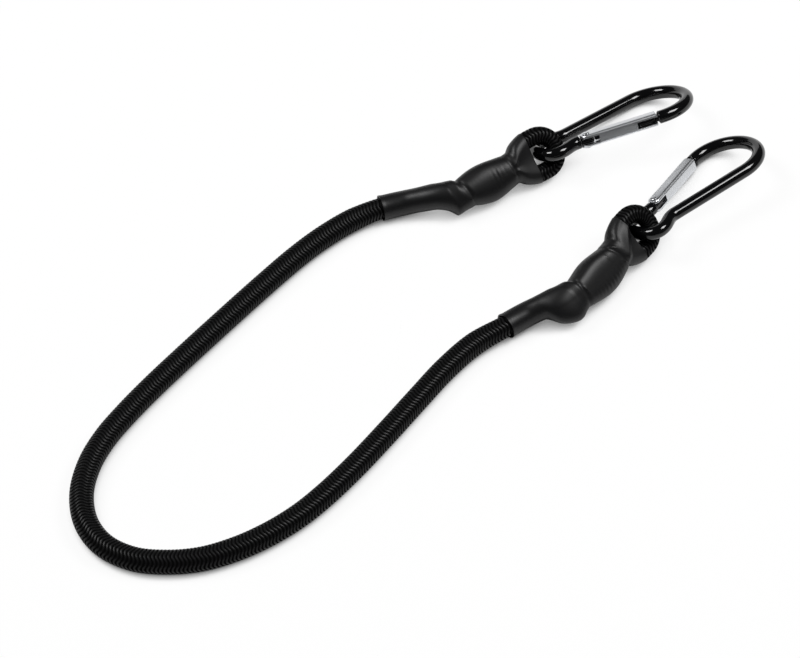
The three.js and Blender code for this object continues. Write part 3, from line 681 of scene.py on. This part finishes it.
def rod_grid(radius):
    """Bent rod from the hinge tongue to the nose tongue: a circle on its round length, drawn into flat superellipses
    at both ends, with the latching notch cut from the nose's outer edge."""
    rivet, to_nose, out = gate_axes()
    body = rod_round()
    rows, ahead, rest = TONGUE_ROWS
    notch_from, notch_to, depth = NOSE_NOTCH
    hinge = np.linspace(HINGE_TONGUE[1], TONGUE_FROM[0], rows)
    nose = np.linspace(TONGUE_FROM[1], notch_to + NOTCH_WALL[0], ahead)
    nose = np.concatenate([nose, np.linspace(notch_to - NOTCH_WALL[1], NOSE_TIP, rest)])
    hinge_flat = ease((hinge - HINGE_NECK[0]) / HINGE_NECK[1])
    nose_flat = ease((NOSE_NECK[0] - nose) / NOSE_NECK[1])
    flat = np.concatenate([hinge_flat, 0 * body[:, 0], nose_flat])
    line = np.vstack([rivet + to_nose * hinge[:, None], body, rivet + to_nose * nose[:, None]])
    at = np.concatenate([hinge, 0 * body[:, 0], nose])
    row = np.arange(len(line))
    on_hinge, on_nose = row < len(hinge), row >= len(hinge) + len(body)
    cut = np.where(on_nose & (at > notch_from) & (at < notch_to), depth, 0)
    tall = np.where(on_nose, (NOSE_TONGUE[1] - NOSE_TONGUE[0] - cut) / 2, HINGE_TONGUE[0])
    shift = np.where(on_nose, (NOSE_TONGUE[1] + NOSE_TONGUE[0] - cut) / 2, 0) * flat
    nose_past = (NOSE_TIP + NOSE_ROUND[0] - at) / NOSE_ROUND[1]
    past = np.where(on_nose, nose_past, (at - HINGE_ROUND[0]) / HINGE_ROUND[1]) * (on_hinge | on_nose)
    round_off = np.sqrt(1 - np.clip(past, 0, ROUND_MOST) ** 2)
    a = mix(radius, tall, flat) * round_off
    b = mix(radius, TONGUE_HALF, flat) * mix(1, round_off, ROUND_THIN)
    u, v = oval(corners(ROUND_SIDES), a[:, None], b[:, None], mix(2, TONGUE_POWER, flat[:, None]))
    across, up, _ = frames(line, np.tile([0, 0, 1.0], (len(line), 1)))
    return swept(line + out * shift[:, None], across, up, u, v)


def rounded(half_y, low, high, corner, both):
    """Outline of a bar's section as y, z pairs: straight sides with quarter rounds of the given radius."""
    t = np.radians(np.linspace(0, 90, CORNER_POINTS))
    c, s = corner * np.cos(t), corner * np.sin(t)
    top = [(half_y - corner + c, high - corner + s), (-half_y + corner - s, high - corner + c)]
    bottom = [(-half_y + corner - c, low + corner - s), (half_y - corner + s, low + corner - c)]
    square = [(np.array([-half_y, half_y]), np.array([low, low]))]
    pairs = top + (bottom if both else square)
    return np.concatenate([y for y, _ in pairs]), np.concatenate([z for _, z in pairs])


def bar_grid(x, outlines):
    """Grid from outlines of y and z at stations x, in the gate's frame."""
    return np.stack([np.stack([np.full(len(y), at), y, z], -1) for at, (y, z) in zip(x, outlines)])


def gate_parts(corner):
    """Gate in its own frame: two fork cheeks round the rivet, a solid bar, and a channel open outward at the nose."""
    half_y, half_z = GATE_HALF
    bar = rounded(half_y, -half_z, half_z, corner, True)
    solid = skin(bar_grid([HINGE_SLOT_END, HINGE_SLOT_END + SLIVER, NOSE_SLOT[0]], [bar] * 3))
    sweep = np.radians(np.linspace(*LUG_SWEEP))
    lug_x = np.concatenate([half_y * np.cos(sweep)[::-1], [0.0, HINGE_SLOT_END]])
    lug_y = np.concatenate([half_y * np.sin(sweep)[::-1], [half_y, half_y]]).clip(LUG_LEAST)
    cheek = [rounded(h, SLOT_HALF, half_z, CHEEK_CORNER * min(corner, h), False) for h in lug_y]
    upper = bar_grid(lug_x, cheek)
    slot = NOSE_SLOT[1]
    channel = (
        np.concatenate([bar[0], [half_y, slot, slot, half_y]]),
        np.concatenate([bar[1], [-SLOT_HALF, -SLOT_HALF, SLOT_HALF, SLOT_HALF]]),
    )
    eased_over, share = NOSE_EASE
    eased = (channel[0] * share, channel[1] * share)
    nose = skin(bar_grid([NOSE_SLOT[0], GATE_END - eased_over, GATE_END], [channel, channel, eased]))
    return [solid, skin(upper), skin(upper * [1, 1, -1]), nose]


def rivet_grid():
    """Turned rivet: a shank with a chamfered head at each end, as a profile of radius and height swung about z."""
    seat = GATE_HALF[1] + RIVET_SEAT
    r = np.concatenate([RIVET_HEAD[0] * RIVET_PROFILE[:, 0], [RIVET_R]])
    z = np.concatenate([seat + RIVET_HEAD[1] * RIVET_PROFILE[:, 1], [seat]])
    r, z = np.concatenate([r, r[::-1]]), np.concatenate([z, -z[::-1]])
    turn = corners(ROUND_SIDES)
    return np.stack([r[:, None] * np.cos(turn), r[:, None] * np.sin(turn), z[:, None] + 0 * turn], -1)


class BungeeOperator:
    """What the operators share: they can be undone."""

    bl_options = {"REGISTER", "UNDO"}


class BUNGEE_OT_stage(BungeeOperator, bpy.types.Operator):
    """Camera, floor and soft studio light"""

    bl_idname = "bungee.stage"
    bl_label = "Stage"

    def execute(self, context):
        scene, stage = context.scene, context.scene.bungee_stage
        camera = bpy.data.objects.new("camera", bpy.data.cameras.new("camera"))
        scene.collection.objects.link(camera)
        view = Vector(VIEW).normalized()
        camera.location = Vector(AIM) - view * AIM_FAR
        camera.rotation_euler = view.to_track_quat("-Z", "Y").to_euler()
        camera.data.lens, camera.data.sensor_width = LENS, SENSOR
        scene.camera = camera
        scene.view_settings.view_transform = "Standard"
        self.light(scene, stage)
        self.floor(scene, stage)
        return {"FINISHED"}

    def light(self, scene, stage):
        for name, place in LAMPS.items():
            lamp = bpy.data.lights.new(name, "AREA")
            lamp.shape, lamp.size = "SQUARE", stage.lamp_size
            lamp.energy = stage.lamp_power
            box = bpy.data.objects.new(name, lamp)
            box.location = place
            box.rotation_euler = (-Vector(place)).to_track_quat("-Z", "Y").to_euler()
            scene.collection.objects.link(box)
        world = bpy.data.worlds.new("Studio")
        world.use_nodes = True
        tree = world.node_tree
        tree.nodes.clear()
        sky = add_node(tree, "Background", {"Color": (1, 1, 1, 1), "Strength": SKY_STRENGTH})
        add_node(tree, "OutputWorld", {"Surface": sky.outputs["Background"]})
        scene.world = world

    def floor(self, scene, stage):
        # Seamless white paper: nearly white by itself to the eye and in reflections, keeping the object's shadow
        material, tree, shader = surface("Seamless paper", {"Roughness": 0.9})
        ray = add_node(tree, "LightPath").outputs
        kinds = {0: ray["Is Glossy Ray"], 1: ray["Is Transmission Ray"]}
        mirror = add_node(tree, "Math", kinds, operation="ADD").outputs[0]
        # Seen straight, the shadow is a soft contact shadow; a mirror close to the paper sees the deep of it
        shares = []
        for seen, (reach, low, high) in ((ray["Is Camera Ray"], SEEN_SKY), (mirror, MIRROR_SKY)):
            open_sky = add_node(tree, "AmbientOcclusion", {"Distance": reach}).outputs["AO"]
            span = {"Value": open_sky, "From Min": low, "From Max": high, "To Max": GLOW_MOST}
            lit = add_node(tree, "MapRange", span).outputs["Result"]
            shares.append(add_node(tree, "Math", {0: seen, 1: lit}, operation="MULTIPLY").outputs[0])
        share = add_node(tree, "Math", dict(enumerate(shares)), operation="ADD")
        # Where the object closes the paper in, as under an eye, it is dark: painted shade in the paper's colour
        reach, low, high = PAPER_SKY
        inner = add_node(tree, "AmbientOcclusion", {"Distance": reach}).outputs["AO"]
        span = {"Value": inner, "From Min": low, "From Max": high}
        closed = add_node(tree, "MapRange", span).outputs["Result"]
        paper = add_node(tree, "Mix", {"Factor": closed, "A": stage.shade, "B": stage.paper}, data_type="RGBA")
        tree.links.new(paper.outputs["Result"], shader.inputs["Base Color"])
        glow = add_node(tree, "Emission", {"Color": (1, 1, 1, 1), "Strength": 1.0})
        pair = {0: share.outputs[0], 1: shader.outputs["BSDF"], 2: glow.outputs["Emission"]}
        both = add_node(tree, "MixShader", pair)
        tree.links.new(both.outputs["Shader"], tree.nodes["Material Output"].inputs["Surface"])
        # Grey card behind the camera: a mid grey in the gate that faces it
        grey, _, _ = surface("Grey card", {"Base Color": stage.card, "Roughness": 0.9})
        w, h = stage.floor, stage.backdrop
        upright = lambda left, right: [(*left, 0), (*right, 0), (*right, h), (*left, h)]
        sheets = {
            "floor": (material, [(-w, -w, 0), (w, -w, 0), (w, w, 0), (-w, w, 0)]),
            "backdrop": (material, upright(*BACKDROP)),
            "card": (grey, upright(*CARD)),
        }
        for name, (cover, outline) in sheets.items():
            mesh = bpy.data.meshes.new(name)
            mesh.from_pydata(outline, [], [(0, 1, 2, 3)])
            mesh.materials.append(cover)
            sheet = bpy.data.objects.new(name, mesh)
            scene.collection.objects.link(sheet)


class BUNGEE_OT_cord(BungeeOperator, bpy.types.Operator):
    """Braided cord: the free stretch, both eyes, and their latex cores"""

    bl_idname = "bungee.cord"
    bl_label = "Cord"

    def execute(self, context):
        cord = context.scene.bungee_cord
        # Braided spun-dyed polyester: dark filament yarns that catch light on their crowns; painted shade makes the
        # grooves near black; the low index stands for loose filaments, which mirror little at a glance
        yarn, tree, shader = surface("Braided polyester yarn", {"Roughness": 0.38, "IOR": 1.27})
        rib = add_node(tree, "Attribute", attribute_name="rib").outputs["Fac"]
        shade = add_node(tree, "Mix", {"Factor": rib, "A": cord.groove, "B": cord.crest}, data_type="RGBA")
        tree.links.new(shade.outputs["Result"], shader.inputs["Base Color"])
        span = {"Value": rib, "From Min": 0.15, "From Max": 1.0, "To Max": 0.75}
        shine = add_node(tree, "MapRange", span).outputs["Result"]
        tree.links.new(shine, shader.inputs["Specular IOR Level"])
        grain(tree, shader, size=0.00012, height=0.00003, strength=0.15)
        # Extruded latex strands: a dull, slightly yellow rubber
        latex = plain("Extruded latex", cord.latex, (0.0004, 0.00005, 0.2), Roughness=0.7)

        step = cord.pitch / MM / RIB_STEPS
        path, values, run, marks = cord_line(cord.radius / MM, cord.eye_radius / MM, step)
        pieces = (
            ("eye_a", (0, marks[0]), "cord"),
            ("cord", (marks[0], marks[3]), None),
            ("eye_b", (marks[3], run[-1]), "end_b"),
        )
        for name, (start, end), body in pieces:
            keep = (run >= start) & (run <= end)
            grid, height = cord_grid(path[keep], values[keep], run[keep], cord)
            # the rib attribute sets the painted shade of the grooves and the shine of the crowns
            ribs = {"rib": height.ravel()}
            jacket = add_piece(f"{name}_braid", [skin(grid)], yarn, body, [f"{name}_jacket"], attributes=ribs)
            inside = core_grid(path[keep][::CORE_EVERY], values[keep][::CORE_EVERY], cord.core_inset / MM)
            core = add_piece(f"{name}_latex", [skin(inside)], latex, body, [f"{name}_core"])
            if body is None:
                for piece in (jacket, core):
                    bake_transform(piece)
        return {"FINISHED"}


class BUNGEE_OT_sleeves(BungeeOperator, bpy.types.Operator):
    """Shrunk sleeve over each doubled end, and the wire clips under it"""

    bl_idname = "bungee.sleeves"
    bl_label = "Sleeves"

    def execute(self, context):
        sleeve, cord = context.scene.bungee_sleeve, context.scene.bungee_cord
        # Heat-shrunk polyolefin tube: satin black, slightly uneven where it has drawn down
        film = plain("Heat-shrunk polyolefin", sleeve.skin, (0.0016, 0.00008, 0.25), Roughness=0.42, IOR=1.38)
        # Drawn and galvanised steel wire: dull grey metal
        wire = plain("Galvanised clip wire", sleeve.wire, (0.0003, 0.00002, 0.3), Metallic=1.0, Roughness=0.4)
        for side, end in ENDS.items():
            grid = placed(sleeve_grid(side, cord.eye_radius / MM, sleeve), end["eye"], end["turn"])
            shell = skin(grid, loop=True)
            add_piece(f"sleeve_{side}_film", [shell], film, end["body"], [f"sleeve_{side}"], crisp=60)
            for i in (1, 2):
                paint(f"wire_clip_{side}{i}", wire)
        return {"FINISHED"}


class BUNGEE_OT_carabiners(BungeeOperator, bpy.types.Operator):
    """Carabiner rods, gates and rivets, with the plungers and springs inside the gates"""

    bl_idname = "bungee.carabiners"
    bl_label = "Carabiners"

    def execute(self, context):
        settings = context.scene.bungee_carabiner
        # Electro-coated bent steel rod: deep black with small hard highlights and a faint orange peel
        coat = plain("Black electro-coated rod", settings.coat, (0.0009, 0.00001, 0.12), Roughness=0.1, IOR=1.48)
        # Nickel-plated, tumbled zinc: bright, with soft streaks along the bar from polishing
        plate, tree, shader = surface(
            "Polished nickel plate", {"Base Color": settings.plate, "Metallic": 1.0, "Roughness": 0.32}
        )
        local = add_node(tree, "Attribute", attribute_name="along").outputs["Vector"]
        grain(tree, shader, size=0.0007, height=0.00001, strength=0.1, source=local, stretch=(0.03, 1, 1))
        # Turned and blackened steel, seen only at the end of the gate's slot: dark, with a dull sheen
        dark = plain("Blackened steel", settings.pin, (0.0002, 0.00001, 0.2), Metallic=1.0, Roughness=0.4)
        # Drawn spring wire, hidden in the gate's bore: bright grey
        steel = plain("Drawn spring wire", settings.steel, (0.0002, 0.00001, 0.2), Metallic=1.0, Roughness=0.3)

        rivet, to_nose, out = gate_axes()
        turned = np.stack([to_nose, out, [0, 0, 1]], -1)
        for side, at in CARABINERS.items():
            set_down = lambda points: placed(points, at["loop"], at["turn"])
            on_gate = lambda points: set_down(points @ turned.T + rivet)
            rod = skin(set_down(rod_grid(settings.rod_radius / MM)))
            own = f"carabiner_{side}"
            add_piece(f"{own}_rod", [rod], coat, own, [f"{own}_body"], crisp=50)
            parts = gate_parts(settings.corner / MM)
            bar = [(on_gate(points), quads, caps) for points, quads, caps in parts]
            streaks = {"along": np.vstack([points for points, _, _ in parts]) * MM}
            add_piece(
                f"{own}_bar", bar, plate, f"gate_{side}", [f"{own}_gate"], crisp=35, attributes=streaks
            )
            grid = rivet_grid()
            pin, streaks = skin(on_gate(grid)), {"along": grid.reshape(-1, 3) * MM}
            add_piece(f"{own}_pin", [pin], plate, own, [f"{own}_rivet"], crisp=50, attributes=streaks)
            for node, material in (("plunger", dark), ("spring", steel)):
                paint(f"{own}_{node}", material)
        return {"FINISHED"}


class VIEW3D_PT_bungee(bpy.types.Panel):
    """Sidebar panel with one button for each group of pieces"""

    bl_label = "Bungee Cord"
    bl_space_type = "VIEW_3D"
    bl_region_type = "UI"
    bl_category = "Bungee Cord"

    def draw(self, context):
        for group, operator in zip(GROUPS, OPERATORS):
            box = self.layout.box()
            settings = getattr(context.scene, group)
            for key in settings.bl_rna.properties.keys():
                if key not in {"rna_type", "name"}:
                    box.prop(settings, key)
            box.operator(operator.bl_idname)


GROUPS = {
    "bungee_stage": BungeeStageSettings,
    "bungee_cord": BungeeCordSettings,
    "bungee_sleeve": BungeeSleeveSettings,
    "bungee_carabiner": BungeeCarabinerSettings,
}
OPERATORS = (BUNGEE_OT_stage, BUNGEE_OT_cord, BUNGEE_OT_sleeves, BUNGEE_OT_carabiners)
CLASSES = (*GROUPS.values(), *OPERATORS, VIEW3D_PT_bungee)


def register():
    for made in CLASSES:
        bpy.utils.register_class(made)
    for name, group in GROUPS.items():
        setattr(bpy.types.Scene, name, PointerProperty(type=group))


def unregister():
    for name in GROUPS:
        delattr(bpy.types.Scene, name)
    for made in reversed(CLASSES):
        bpy.utils.unregister_class(made)


def main():
    register()
    bpy.ops.bungee.stage()
    bpy.ops.bungee.cord()
    bpy.ops.bungee.sleeves()
    bpy.ops.bungee.carabiners()
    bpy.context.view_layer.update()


if __name__ == "__main__":
    main()
